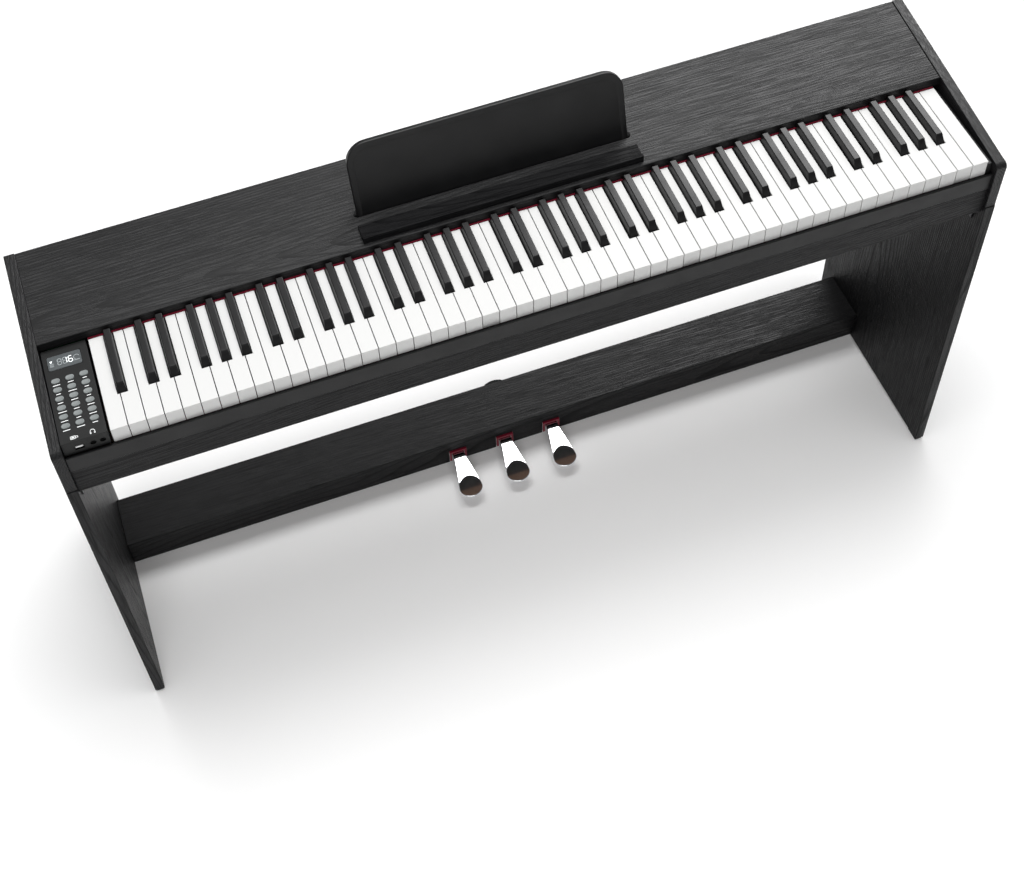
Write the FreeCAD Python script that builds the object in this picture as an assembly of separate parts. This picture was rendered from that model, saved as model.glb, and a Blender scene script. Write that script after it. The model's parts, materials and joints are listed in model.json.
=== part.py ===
import FreeCAD, Part
import math
import os

# Digital piano on a panel stand: 88 keys, three pedals, lift-off music rest.
# Millimetres.  X to the treble side, Y to the back, Z up, origin on the floor
# at the centre of the footprint.
os.makedirs("parts", exist_ok=True)
V = FreeCAD.Vector

# ---------------------------------------------------------------- main sizes
WIDTH = 1325.0            # over the outer faces of the side panels
PANEL_T = 15.0            # side panels and top board
LEG_DEPTH = 346.0         # side panels, front to back
GLIDE_H = 6.0             # floor glides lift the panels off the floor
KEY_TOP = 700.0           # playing surface of the white keys above the floor
KEY_FRONT = -162.0        # front lip of the white keys
OCTAVE_PITCH = 23.5       # one white key
KEY_VISIBLE = 148.5       # white key from lip to the red felt
HEAD_LENGTH = 50.5        # white key in front of the black keys
BLACK_RISE = 12.0         # black key above white key
KEY_GAP = 1.1             # slot between neighbouring white keys
PIVOT_BACK = 222.0        # key pivot behind the lip
TOP_SLOPE = 0.1336        # rise of the top board per mm towards the back
SEAM_Z = 608.0            # cheeks stand on the side panels here
BODY_BOTTOM = 595.0       # underside of the keyboard body
BODY_BACK = KEY_FRONT + 298.0
BOARD_FRONT = KEY_FRONT + 152.0
BOARD_FRONT_Z = KEY_TOP + 14.0
REST_LEAN_DEG = 15.0      # music rest leans back
REST_WIDTH = 392.0
REST_HEIGHT = 110.0       # above the top board
PEDAL_PITCH = 83.5
PEDAL_REACH = 83.0        # pedal in front of the pedal box
BOX_FRONT = KEY_FRONT + 218.0
BOX_BACK = KEY_FRONT + 302.0
BOX_BOTTOM = 10.0
BOX_TOP = 72.0

HALF = WIDTH / 2.0
INNER = HALF - PANEL_T
KEYS_LEFT = INNER - 8.8 - 52 * OCTAVE_PITCH
PANEL_RIGHT = KEYS_LEFT - 3.0
PANEL_LEFT = -INNER + 1.0
SLOPE_DEG = math.degrees(math.atan(TOP_SLOPE))
BOARD_DROP = PANEL_T / math.cos(math.radians(SLOPE_DEG))

parts = {}


def box(x0, x1, y0, y1, z0, z1):
    return Part.makeBox(x1 - x0, y1 - y0, z1 - z0, V(x0, y0, z0))


def prism_x(points, x0, x1):
    """Extrude a Y-Z outline along X."""
    ring = [V(x0, y, z) for y, z in points]
    face = Part.Face(Part.makePolygon(ring + [ring[0]]))
    return face.extrude(V(x1 - x0, 0, 0))


def prism_z(points, z0, z1):
    """Extrude an X-Y outline along Z."""
    ring = [V(x, y, z0) for x, y in points]
    face = Part.Face(Part.makePolygon(ring + [ring[0]]))
    return face.extrude(V(0, 0, z1 - z0))


def rod(centre, axis, radius, length):
    return Part.makeCylinder(radius, length, V(*centre), V(*axis))


def stadium(cx, cy, length, width, z0, z1):
    """Oval with straight sides, long axis along X."""
    r = width / 2.0
    half = length / 2.0 - r
    left = V(cx - half, cy - r, z0)
    right = V(cx + half, cy - r, z0)
    right_top = V(cx + half, cy + r, z0)
    left_top = V(cx - half, cy + r, z0)
    edges = [
        Part.makeLine(left, right),
        Part.Arc(right, V(cx + half + r, cy, z0), right_top).toShape(),
        Part.makeLine(right_top, left_top),
        Part.Arc(left_top, V(cx - half - r, cy, z0), left).toShape(),
    ]
    return Part.Face(Part.Wire(edges)).extrude(V(0, 0, z1 - z0))


def soften(shape, radius, picks):
    """Round the edges whose centre the test accepts."""
    edges = [e for e in shape.Edges if picks(e)]
    return shape.makeFillet(radius, edges)


def group(solids):
    return Part.makeCompound(solids)


def top_z(y):
    """Height of the top board's upper face."""
    return BOARD_FRONT_Z + (y - BOARD_FRONT) * TOP_SLOPE


# ------------------------------------------------------------- side structure
cheek_front = KEY_FRONT - 10.0
cheek_outline = [
    (cheek_front, SEAM_Z),
    (BODY_BACK, SEAM_Z),
    (BODY_BACK, top_z(BODY_BACK) + 1.5),
    (cheek_front, top_z(cheek_front) + 1.5),
]


def front_top(edge):
    c = edge.CenterOfMass
    return abs(c.y - cheek_front) < 0.1 and c.z > 690.0 and edge.Length < 16.0


for side, x0 in (("left", -HALF), ("right", INNER)):
    cheek = prism_x(cheek_outline, x0, x0 + PANEL_T)
    cheek = soften(cheek, 8.0, front_top)
    parts[side + "_cheek"] = cheek
    parts[side + "_leg_panel"] = box(
        x0, x0 + PANEL_T, -LEG_DEPTH / 2, LEG_DEPTH / 2, GLIDE_H, SEAM_Z)

glides = []
for x in (-HALF + PANEL_T / 2, HALF - PANEL_T / 2):
    for y in (-LEG_DEPTH / 2 + 14.0, LEG_DEPTH / 2 - 14.0):
        glides.append(box(x - 6.0, x + 6.0, y - 12.0, y + 12.0, 0.0, GLIDE_H))
parts["floor_glides"] = group(glides)

# --------------------------------------------------------------- keyboard body
apron_front = KEY_FRONT - 4.0
parts["front_apron"] = box(
    -INNER, INNER, apron_front, apron_front + 12.0, BODY_BOTTOM, KEY_TOP - 55.0)
bottom_front = apron_front + 12.0
back_front = BODY_BACK - 12.0
bottom_board = box(-INNER, INNER, bottom_front, back_front,
                   BODY_BOTTOM, BODY_BOTTOM + 12.0)
back_outline = [
    (back_front, BODY_BOTTOM),
    (BODY_BACK, BODY_BOTTOM),
    (BODY_BACK, top_z(BODY_BACK) - BOARD_DROP),
    (back_front, top_z(back_front) - BOARD_DROP),
]
back_panel = prism_x(back_outline, -INNER, INNER)
top_outline = [
    (BOARD_FRONT, top_z(BOARD_FRONT) - BOARD_DROP),
    (BODY_BACK, top_z(BODY_BACK) - BOARD_DROP),
    (BODY_BACK, top_z(BODY_BACK)),
    (BOARD_FRONT, top_z(BOARD_FRONT)),
]
top_board = prism_x(top_outline, -INNER, INNER)

slip_top = KEY_TOP - 26.0
slip_bottom = KEY_TOP - 55.0
slip_face = box(-INNER, INNER, KEY_FRONT - 5.5, KEY_FRONT - 1.5,
                slip_bottom, slip_top)
slip_foot = box(-INNER, INNER, KEY_FRONT - 1.5, apron_front + 12.0,
                slip_bottom, slip_bottom + 3.0)
parts["key_slip"] = slip_face.fuse(slip_foot).removeSplitter()

# speakers fire down through slots in the bottom board
SPEAKER_X = 430.0
speaker_y = KEY_FRONT + 257.0
speakers = []
for x in (-SPEAKER_X, SPEAKER_X):
    floor_z = BODY_BOTTOM + 12.0
    basket = stadium(x, speaker_y, 120.0, 50.0, floor_z, floor_z + 4.0)
    cone = stadium(x, speaker_y, 104.0, 36.0, floor_z + 4.0, floor_z + 20.0)
    magnet = rod((x, speaker_y, floor_z + 20.0), (0, 0, 1), 16.0, 12.0)
    speakers.append(basket.fuse(cone).fuse(magnet).removeSplitter())
    for row in range(-3, 4):
        slot = box(x - 36.0, x + 36.0, speaker_y + row * 6.0 - 1.5,
                   speaker_y + row * 6.0 + 1.5, BODY_BOTTOM - 1.0, floor_z + 1.0)
        bottom_board = bottom_board.cut(slot)
parts["speakers"] = group(speakers)

# ------------------------------------------------------------------ music rest
rest_y = KEY_FRONT + 207.0
rest_z = top_z(rest_y)
lean_point = V(0, rest_y, rest_z)


def lean_back(shape):
    shape.rotate(lean_point, V(1, 0, 0), -REST_LEAN_DEG)
    return shape


groove_half = REST_WIDTH / 2 + 5.0
groove = box(-groove_half + 5.5, groove_half - 5.5, rest_y - 5.5, rest_y + 5.5,
             rest_z - 12.0, rest_z + 10.0)
for end in (-groove_half + 5.5, groove_half - 5.5):
    groove = groove.fuse(rod((end, rest_y, rest_z - 12.0), (0, 0, 1), 5.5, 22.0))
top_board = top_board.cut(lean_back(groove))
top_board = soften(
    top_board, 1.2,
    lambda e: abs(e.CenterOfMass.y - BOARD_FRONT) < 0.1 and e.Length > 900.0)

rest = box(-REST_WIDTH / 2, REST_WIDTH / 2, rest_y - 4.0, rest_y + 4.0,
           rest_z - 11.8, rest_z + REST_HEIGHT)
rest = soften(
    rest, 30.0,
    lambda e: e.CenterOfMass.z > rest_z + REST_HEIGHT - 0.1
    and abs(abs(e.CenterOfMass.x) - REST_WIDTH / 2) < 0.1)
rest = soften(
    rest, 1.5,
    lambda e: e.CenterOfMass.z > rest_z + REST_HEIGHT - 0.1 and e.Length > 200.0)
parts["music_rest"] = lean_back(rest)

ledge_front = KEY_FRONT + 158.0
ledge_back = KEY_FRONT + 184.0
ledge_outline = [
    (ledge_front, top_z(ledge_front)),
    (ledge_back, top_z(ledge_back)),
    (ledge_back, top_z(ledge_back) + 6.0),
    (ledge_front + 7.0, top_z(ledge_front) + 6.9),
    (ledge_front + 5.0, top_z(ledge_front) + 11.0),
    (ledge_front, top_z(ledge_front) + 11.0),
]
parts["rest_ledge"] = prism_x(ledge_outline, -201.0, 201.0)

# -------------------------------------------------------------------- keyboard
# Black keys sit so that every tail between them is equally wide.
SLOTS = {
    "C_sharp": (0, 3 * OCTAVE_PITCH / 5, 1),
    "D_sharp": (0, 3 * OCTAVE_PITCH / 5, 3),
    "F_sharp": (3, 4 * OCTAVE_PITCH / 7, 1),
    "G_sharp": (3, 4 * OCTAVE_PITCH / 7, 3),
    "A_sharp": (3, 4 * OCTAVE_PITCH / 7, 5),
}
WHITE_NAMES = ["C", "D", "E", "F", "G", "A", "B"]
CUTS = {
    "C": (None, "C_sharp"),
    "D": ("C_sharp", "D_sharp"),
    "E": ("D_sharp", None),
    "F": (None, "F_sharp"),
    "G": ("F_sharp", "G_sharp"),
    "A": ("G_sharp", "A_sharp"),
    "B": ("A_sharp", None),
}
STEM_TOP = KEY_TOP - 8.0
STEM_BOTTOM = KEY_TOP - 20.0
PIVOT_Y = KEY_FRONT + PIVOT_BACK
PIVOT_Z = KEY_TOP - 16.0


def octave_left(octave):
    """Left edge of an octave's C; octave 0 holds only the lowest A and B."""
    return KEYS_LEFT + (octave * 7 - 5) * OCTAVE_PITCH


def slot_edges(octave, name):
    first, width, place = SLOTS[name]
    left = octave_left(octave) + first * OCTAVE_PITCH + place * width
    return left, left + width


def stem(centre, half_width):
    """Rear part of a key under the top board, with the hook behind the rail."""
    bar = box(centre - half_width, centre + half_width,
              KEY_FRONT + KEY_VISIBLE - 6.0, KEY_FRONT + 230.0,
              STEM_BOTTOM, STEM_TOP)
    hook = box(centre - half_width, centre + half_width,
               KEY_FRONT + 226.5, KEY_FRONT + 230.0,
               STEM_BOTTOM - 10.0, STEM_BOTTOM)
    return bar.fuse(hook)


def white_key(octave, name):
    left = octave_left(octave) + WHITE_NAMES.index(name) * OCTAVE_PITCH
    x0 = left + KEY_GAP / 2
    x1 = left + OCTAVE_PITCH - KEY_GAP / 2
    tail0 = x0
    tail1 = x1
    before, after = CUTS[name]
    if octave == 0 and name == "A":
        before = None
    if octave == 8:
        after = None
    if before:
        tail0 = slot_edges(octave, before)[1] + 0.3
    if after:
        tail1 = slot_edges(octave, after)[0] - 0.3
    lip = box(x0, x1, KEY_FRONT, KEY_FRONT + 2.0, KEY_TOP - 3.0, KEY_TOP)
    head = box(x0, x1, KEY_FRONT + 1.0, KEY_FRONT + HEAD_LENGTH,
               KEY_TOP - 28.0, KEY_TOP)
    tail = box(tail0, tail1, KEY_FRONT + HEAD_LENGTH - 1.0,
               KEY_FRONT + KEY_VISIBLE, STEM_BOTTOM, KEY_TOP)
    hollow = box(x0 + 2.0, x1 - 2.0, KEY_FRONT + 3.0,
                 KEY_FRONT + HEAD_LENGTH - 2.0, KEY_TOP - 29.0, KEY_TOP - 3.0)
    middle = (tail0 + tail1) / 2
    key = lip.fuse(head).fuse(tail).fuse(stem(middle, 4.5)).cut(hollow)
    return key.removeSplitter()


def black_key(octave, name):
    x0, x1 = slot_edges(octave, name)
    middle = (x0 + x1) / 2
    base = 6.0
    crown = 4.7
    front = KEY_FRONT + HEAD_LENGTH + 1.0
    back = KEY_FRONT + KEY_VISIBLE - 0.5
    lower = box(middle - base, middle + base, front, back,
                STEM_BOTTOM, KEY_TOP - 0.5)
    ring0 = [(middle - base, front), (middle + base, front),
             (middle + base, back), (middle - base, back)]
    ring1 = [(middle - crown, front + 8.0), (middle + crown, front + 8.0),
             (middle + crown, back), (middle - crown, back)]
    wires = []
    for ring, z in ((ring0, KEY_TOP - 0.5), (ring1, KEY_TOP + BLACK_RISE)):
        points = [V(x, y, z) for x, y in ring]
        wires.append(Part.makePolygon(points + [points[0]]))
    upper = Part.makeLoft(wires, True, True)
    return lower.fuse(upper).fuse(stem(middle, 4.5)).removeSplitter()


def octaves_with(name):
    """Octaves of an 88-key keyboard that hold a key of this name."""
    first = 0 if name in ("A", "A_sharp", "B") else 1
    last = 8 if name == "C" else 7
    return range(first, last + 1)


key_middles = []
for name in WHITE_NAMES:
    keys = [white_key(octave, name) for octave in octaves_with(name)]
    parts["white_keys_" + name] = group(keys)
for name in SLOTS:
    keys = [black_key(octave, name) for octave in octaves_with(name)]
    parts["black_keys_" + name] = group(keys)
for node in sorted(parts):
    if "_keys_" in node:
        for solid in parts[node].Solids:
            hooks = [v.X for v in solid.Vertexes if v.Z < STEM_BOTTOM - 9.0
                     and v.Y > PIVOT_Y]
            key_middles.append((min(hooks) + max(hooks)) / 2)

# chassis: floor, front rail, contact rail, spring shelf, pivot rail, end block
chassis_left = PANEL_RIGHT + 1.0
chassis_right = INNER - 1.0
floor_z = BODY_BOTTOM + 12.0
rails = [
    (9.0, 226.0, floor_z, floor_z + 3.0),
    (9.0, 21.0, floor_z + 3.0, KEY_TOP - 42.0),
    (110.0, 140.0, floor_z + 3.0, KEY_TOP - 48.0),
    (186.0, 204.0, floor_z + 3.0, KEY_TOP - 33.0),
    (212.0, 225.0, floor_z + 3.0, STEM_BOTTOM - 1.0),
]
chassis = None
for y0, y1, z0, z1 in rails:
    rail = box(chassis_left, chassis_right, KEY_FRONT + y0, KEY_FRONT + y1, z0, z1)
    chassis = rail if chassis is None else chassis.fuse(rail)
end_block = box(INNER - 7.0, chassis_right, KEY_FRONT + 9.0, KEY_FRONT + 149.0,
                floor_z, KEY_TOP - 9.0)
end_block = end_block.fuse(
    box(INNER - 7.0, chassis_right, KEY_FRONT + 2.0, KEY_FRONT + 10.0,
        slip_bottom + 4.0, KEY_TOP - 9.0))
parts["key_chassis"] = chassis.fuse(end_block).removeSplitter()

springs = []
for x in key_middles:
    centre = (x, KEY_FRONT + 195.0, KEY_TOP - 33.0)
    outer = rod(centre, (0, 0, 1), 2.6, 11.0)
    springs.append(outer.cut(rod(centre, (0, 0, 1), 2.0, 11.0)))
parts["key_springs"] = group(springs)

strip_z = KEY_TOP - 48.0
contacts = [box(chassis_left + 2.0, chassis_right - 10.0, KEY_FRONT + 111.0,
                KEY_FRONT + 139.0, strip_z, strip_z + 1.6)]
for x in key_middles:
    contacts.append(rod((x, KEY_FRONT + 125.0, strip_z + 1.6), (0, 0, 1), 3.8, 6.0))
parts["contact_board"] = group(contacts)

# ------------------------------------------------------------- control panel
PANEL_TOP = KEY_TOP + 1.0
panel_front = KEY_FRONT - 1.0
panel_back = KEY_FRONT + 149.5
housing = box(PANEL_LEFT, PANEL_RIGHT, panel_front, panel_back,
              slip_top + 0.5, PANEL_TOP)
housing = housing.cut(box(PANEL_LEFT + 2.0, PANEL_RIGHT - 2.0, panel_front + 2.5,
                          panel_back + 1.0, slip_top, PANEL_TOP - 3.0))
DISPLAY_X = KEYS_LEFT - 34.7
DISPLAY_Y = KEY_FRONT + 126.0
recess = box(DISPLAY_X - 22.2, DISPLAY_X + 22.2, DISPLAY_Y - 11.2,
             DISPLAY_Y + 11.2, PANEL_TOP - 1.6, PANEL_TOP + 1.0)
housing = housing.cut(recess)
window = box(DISPLAY_X - 22.0, DISPLAY_X + 22.0, DISPLAY_Y - 11.0,
             DISPLAY_Y + 11.0, PANEL_TOP - 1.6, PANEL_TOP + 0.2)
parts["display_window"] = soften(
    window, 2.5,
    lambda e: abs(e.Length - 1.8) < 0.01)

board_z = KEY_TOP - 20.0
board_top = board_z + 1.6
BUTTON_PITCH_X = 18.4
BUTTON_PITCH_Y = 14.4
number = 0
for row in range(6):
    for column in range(3):
        number += 1
        x = KEYS_LEFT - 51.4 + column * BUTTON_PITCH_X
        y = KEY_FRONT + 97.0 - row * BUTTON_PITCH_Y
        cap = stadium(x, y, 11.5, 7.5, PANEL_TOP - 3.5, PANEL_TOP + 1.6)
        flange = stadium(x, y, 13.5, 9.5, PANEL_TOP - 5.5, PANEL_TOP - 3.5)
        plunger = rod((x, y, board_top + 2.4), (0, 0, 1), 2.0,
                      PANEL_TOP - 5.5 - board_top - 2.4)
        button = cap.fuse(flange).fuse(plunger).removeSplitter()
        parts["panel_button_%02d" % number] = button
        housing = housing.cut(stadium(x, y, 12.1, 8.1, PANEL_TOP - 4.0,
                                      PANEL_TOP + 1.0))

# main circuit board under the panel, sockets front and back
board_left = PANEL_LEFT + 4.0
board_right = PANEL_RIGHT - 4.0
board = box(board_left, board_right, KEY_FRONT + 3.0, back_front - 2.0,
            board_z, board_top)
usb_x = KEYS_LEFT - 42.0
usb = box(usb_x - 6.5, usb_x + 6.5, KEY_FRONT + 1.9, KEY_FRONT + 18.0,
          board_top, board_top + 9.0)
usb_hollow = box(usb_x - 5.7, usb_x + 5.7, KEY_FRONT + 1.0, KEY_FRONT + 14.0,
                 board_top + 1.2, board_top + 7.8)
usb_tongue = box(usb_x - 4.6, usb_x + 4.6, KEY_FRONT + 2.2, KEY_FRONT + 14.0,
                 board_top + 4.0, board_top + 5.8)
board = board.fuse(usb.cut(usb_hollow).fuse(usb_tongue))
housing = housing.cut(box(usb_x - 6.2, usb_x + 6.2, panel_front - 1.0,
                          panel_front + 3.0, board_top + 0.7, board_top + 8.3))
for offset in (-24.0, -11.8):
    x = KEYS_LEFT + offset
    z = board_top + 5.5
    jack = box(x - 5.2, x + 5.2, KEY_FRONT + 1.9, KEY_FRONT + 17.0,
               board_top, board_top + 11.0)
    jack = jack.cut(rod((x, KEY_FRONT + 1.0, z), (0, 1, 0), 3.2, 14.0))
    board = board.fuse(jack)
    housing = housing.cut(rod((x, panel_front - 1.0, z), (0, 1, 0), 4.0, 4.0))
for x in (board_left + 10.0, board_left + 26.0, board_left + 42.0):
    z = board_top + 6.5
    socket = box(x - 6.5, x + 6.5, back_front - 16.0, back_front - 1.0,
                 board_top, board_top + 13.0)
    nose = rod((x, back_front - 1.0, z), (0, 1, 0), 5.0, 12.0)
    socket = socket.fuse(nose)
    socket = socket.cut(rod((x, back_front - 9.0, z), (0, 1, 0), 3.2, 30.0))
    board = board.fuse(socket)
    back_panel = back_panel.cut(rod((x, back_front - 1.0, z), (0, 1, 0), 5.6, 14.0))
for x in (board_left + 4.0, board_right - 4.0):
    for y in (KEY_FRONT + 32.2, KEY_FRONT + 141.0):
        post = rod((x, y, board_top), (0, 0, 1), 1.5, PANEL_TOP - 3.0 - board_top)
        housing = housing.fuse(post)
parts["main_board"] = board.removeSplitter()
parts["control_panel"] = housing.removeSplitter()

# ----------------------------------------------------------------- pedal box
plank_z = BOX_TOP - PANEL_T
box_top = box(-INNER, INNER, BOX_FRONT - 3.0, BOX_BACK + 2.0, plank_z, BOX_TOP)
box_front = box(-INNER, INNER, BOX_FRONT, BOX_FRONT + 12.0, BOX_BOTTOM, plank_z)
box_back = box(-INNER, INNER, BOX_BACK - 12.0, BOX_BACK, BOX_BOTTOM, plank_z)
# low bowed cover over the outlet for the pedal lead, on the back board
HOOD_X = 12.0
HOOD_HALF = 19.0
HOOD_BULGE = 6.6
hood_r = (HOOD_HALF ** 2 + HOOD_BULGE ** 2) / (2 * HOOD_BULGE)
hood = rod((HOOD_X, BOX_BACK + HOOD_BULGE - hood_r, BOX_BOTTOM + 8.0), (0, 0, 1),
           hood_r, BOX_TOP - BOX_BOTTOM - 8.0)
hood = hood.common(
    box(HOOD_X - 30.0, HOOD_X + 30.0, BOX_BACK, BOX_BACK + 20.0, 0.0, plank_z).fuse(
        box(HOOD_X - 30.0, HOOD_X + 30.0, BOX_BACK + 2.0, BOX_BACK + 20.0,
            plank_z, BOX_TOP)))
hood = hood.cut(box(HOOD_X - 9.0, HOOD_X + 9.0, BOX_BACK, BOX_BACK + 3.5,
                    BOX_BOTTOM, plank_z - 6.0))
parts["pedal_box_back"] = box_back.fuse(hood).removeSplitter()

PEDAL_TOP = 36.0
PEDAL_T = 9.0
PEDAL_FALL = 0.1405       # pedals slope down to the toe, 8 degrees
TOE_BEND = 10.0           # from here to the toe the top falls faster, 11.5 degrees
TOE_FALL = 0.2035
AXLE_Y = BOX_FRONT + 62.0
AXLE_Z = PEDAL_TOP - PEDAL_T / 2
felts = []
springs = []
ears = []
frame_floor = box(-125.0, 125.0, BOX_FRONT + 14.0, BOX_BACK - 14.0, 11.0, 13.0)
axle = rod((-122.0, AXLE_Y, AXLE_Z), (1, 0, 0), 3.0, 244.0)
pedals = {
    "left_pedal": -PEDAL_PITCH,
    "middle_pedal": 0.0,
    "right_pedal": PEDAL_PITCH,
}
for name, x in pedals.items():
    # spoon outline: narrow neck, wide round toe
    y_root = BOX_FRONT - 2.0
    y_toe = BOX_FRONT - PEDAL_REACH
    neck = 9.5
    wide = 19.6
    round_y = y_toe + 16.0
    edges = [
        Part.makeLine(V(x - neck, AXLE_Y + 8.0, 0), V(x - neck, y_root, 0)),
        Part.makeLine(V(x - neck, y_root, 0), V(x - wide, round_y, 0)),
        Part.Arc(V(x - wide, round_y, 0), V(x, y_toe, 0),
                 V(x + wide, round_y, 0)).toShape(),
        Part.makeLine(V(x + wide, round_y, 0), V(x + neck, y_root, 0)),
        Part.makeLine(V(x + neck, y_root, 0), V(x + neck, AXLE_Y + 8.0, 0)),
        Part.makeLine(V(x + neck, AXLE_Y + 8.0, 0), V(x - neck, AXLE_Y + 8.0, 0)),
    ]
    blank = Part.Face(Part.Wire(edges)).extrude(V(0, 0, PEDAL_TOP))
    y_end = y_toe - 1.0
    bend_z = PEDAL_TOP - (y_root - TOE_BEND) * PEDAL_FALL
    bottom = PEDAL_TOP - PEDAL_T
    side = prism_x([
        (AXLE_Y + 8.0, bottom), (AXLE_Y + 8.0, PEDAL_TOP), (y_root, PEDAL_TOP),
        (TOE_BEND, bend_z), (y_end, bend_z - (TOE_BEND - y_end) * TOE_FALL),
        (y_end, bottom - (y_root - y_end) * PEDAL_FALL), (y_root, bottom)],
        x - 20.0, x + 20.0)
    pedal = blank.common(side)
    pedal = pedal.cut(rod((x - 20.0, AXLE_Y, AXLE_Z), (1, 0, 0), 3.05, 40.0))
    parts[name] = pedal
    notch = box(x - 15.0, x + 15.0, BOX_FRONT - 1.0, BOX_FRONT + 13.0,
                BOX_BOTTOM - 1.0, 42.0)
    box_front = box_front.cut(notch)
    felt = box(x - 15.0, x + 15.0, BOX_FRONT - 3.0, BOX_FRONT + 12.0, 16.0, 42.0)
    felt = felt.cut(box(x - 11.0, x + 11.0, BOX_FRONT - 4.0, BOX_FRONT + 13.0,
                        15.0, 37.2))
    felts.append(felt)
    for side in (-1, 1):
        ear_x = x + side * 12.5
        ear = box(ear_x - 1.0, ear_x + 1.0, AXLE_Y - 9.0, AXLE_Y + 8.0, 13.0, 42.0)
        ear = ear.cut(rod((ear_x - 2.0, AXLE_Y, AXLE_Z), (1, 0, 0), 3.0, 4.0))
        ears.append(ear)
    seat = (x, BOX_FRONT + 28.0, 13.0)
    outer = rod(seat, (0, 0, 1), 5.6, 10.0)
    springs.append(outer.cut(rod(seat, (0, 0, 1), 4.4, 10.0)))
frame = frame_floor
for ear in ears:
    frame = frame.fuse(ear)
parts["pedal_frame"] = group([frame.removeSplitter(), axle])
parts["pedal_springs"] = group(springs)

# ------------------------------------------------------------------ red felts
felts.append(box(KEYS_LEFT, INNER - 8.8, KEY_FRONT + 150.2, KEY_FRONT + 160.0,
                 STEM_TOP + 1.5, top_z(BOARD_FRONT) - BOARD_DROP))
felts.append(box(KEYS_LEFT, INNER - 8.8, KEY_FRONT + 9.5, KEY_FRONT + 20.5,
                 KEY_TOP - 42.0, KEY_TOP - 38.7))
parts["red_felts"] = group(felts)

# --------------------------------------------------------- brackets and screws
BRACKET_T = 2.5
brackets = []
screws = []
bored = {
    "front_apron": parts["front_apron"],
    "bottom_board": bottom_board,
    "back_panel": back_panel,
    "top_board": top_board,
    "pedal_box_top": box_top,
    "left_leg_panel": parts["left_leg_panel"],
    "right_leg_panel": parts["right_leg_panel"],
    "left_cheek": parts["left_cheek"],
    "right_cheek": parts["right_cheek"],
}


def add_screw(point, axis, length, wood, recess=0.0):
    """Pan-head screw; point is where the head meets the surface."""
    direction = V(*axis)
    start = V(*point) + direction * recess
    head = Part.makeCylinder(4.0, 2.4, start - direction * 2.4, direction)
    shank = Part.makeCylinder(2.0, length, start, direction)
    screws.append(head.fuse(shank).removeSplitter())
    drill = Part.makeCylinder(2.05, length + 0.5, start, direction)
    sink = Part.makeCylinder(4.2, 2.6 + recess, start - direction * (2.6 + recess),
                             direction)
    for node in wood:
        bored[node] = bored[node].cut(drill)
        if recess:
            bored[node] = bored[node].cut(sink)


def add_bracket(side, y, z, board):
    """Angle bracket: one plate under a board at height z, one on the panel."""
    wall = side * INNER
    inside = wall - side * 30.0
    low_x = min(wall, inside)
    plate = box(low_x, low_x + 30.0, y - 18.0, y + 18.0, z - BRACKET_T, z)
    skin = wall - side * BRACKET_T
    low_skin = min(wall, skin)
    upright = box(low_skin, low_skin + BRACKET_T, y - 18.0, y + 18.0,
                  z - 30.0, z - BRACKET_T)
    bracket = plate.fuse(upright).removeSplitter()
    panel = "right_leg_panel" if side > 0 else "left_leg_panel"
    for dy in (-10.0, 10.0):
        up = (wall - side * 18.0, y + dy, z - BRACKET_T)
        out = (skin, y + dy, z - 19.0)
        for point, axis in ((up, (0, 0, 1)), (out, (side, 0, 0))):
            hole = Part.makeCylinder(2.05, 4.0, V(*point), V(*axis))
            bracket = bracket.cut(hole)
        add_screw(up, (0, 0, 1), 12.0, [board])
        add_screw(out, (side, 0, 0), 13.0, [panel])
    brackets.append(bracket)


for side in (-1, 1):
    add_bracket(side, KEY_FRONT + 28.0, BODY_BOTTOM, "bottom_board")
    add_bracket(side, KEY_FRONT + 262.0, BODY_BOTTOM, "bottom_board")
    add_bracket(side, BOX_FRONT + 42.0, plank_z, "pedal_box_top")
    cheek = "right_cheek" if side > 0 else "left_cheek"
    outer = side * HALF
    inward = (-side, 0, 0)
    # cheeks screwed from outside into the back panel and top board
    add_screw((outer, back_front + 6.0, 626.0), inward, 36.0,
              [cheek, "back_panel"], 2.6)
    add_screw((outer, back_front + 6.0, 662.0), inward, 36.0,
              [cheek, "back_panel"], 2.6)
    for y in (BOARD_FRONT + 24.0, BODY_BACK - 34.0):
        add_screw((outer, y, top_z(y) - BOARD_DROP / 2), inward, 36.0,
                  [cheek, "top_board"], 2.6)
    add_screw((outer, apron_front + 6.0, 626.0), inward, 36.0,
              [cheek, "front_apron"], 2.6)
parts.update(bored)
parts["pedal_box_front"] = box_front
parts["corner_brackets"] = group(brackets)
parts["screws"] = group(screws)

for node in sorted(parts):
    parts[node].exportStep("parts/" + node + ".step")
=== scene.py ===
import json
import math

import bmesh
import bpy
from bpy.props import FloatProperty, FloatVectorProperty, IntProperty, PointerProperty
from mathutils import Matrix, Vector


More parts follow.
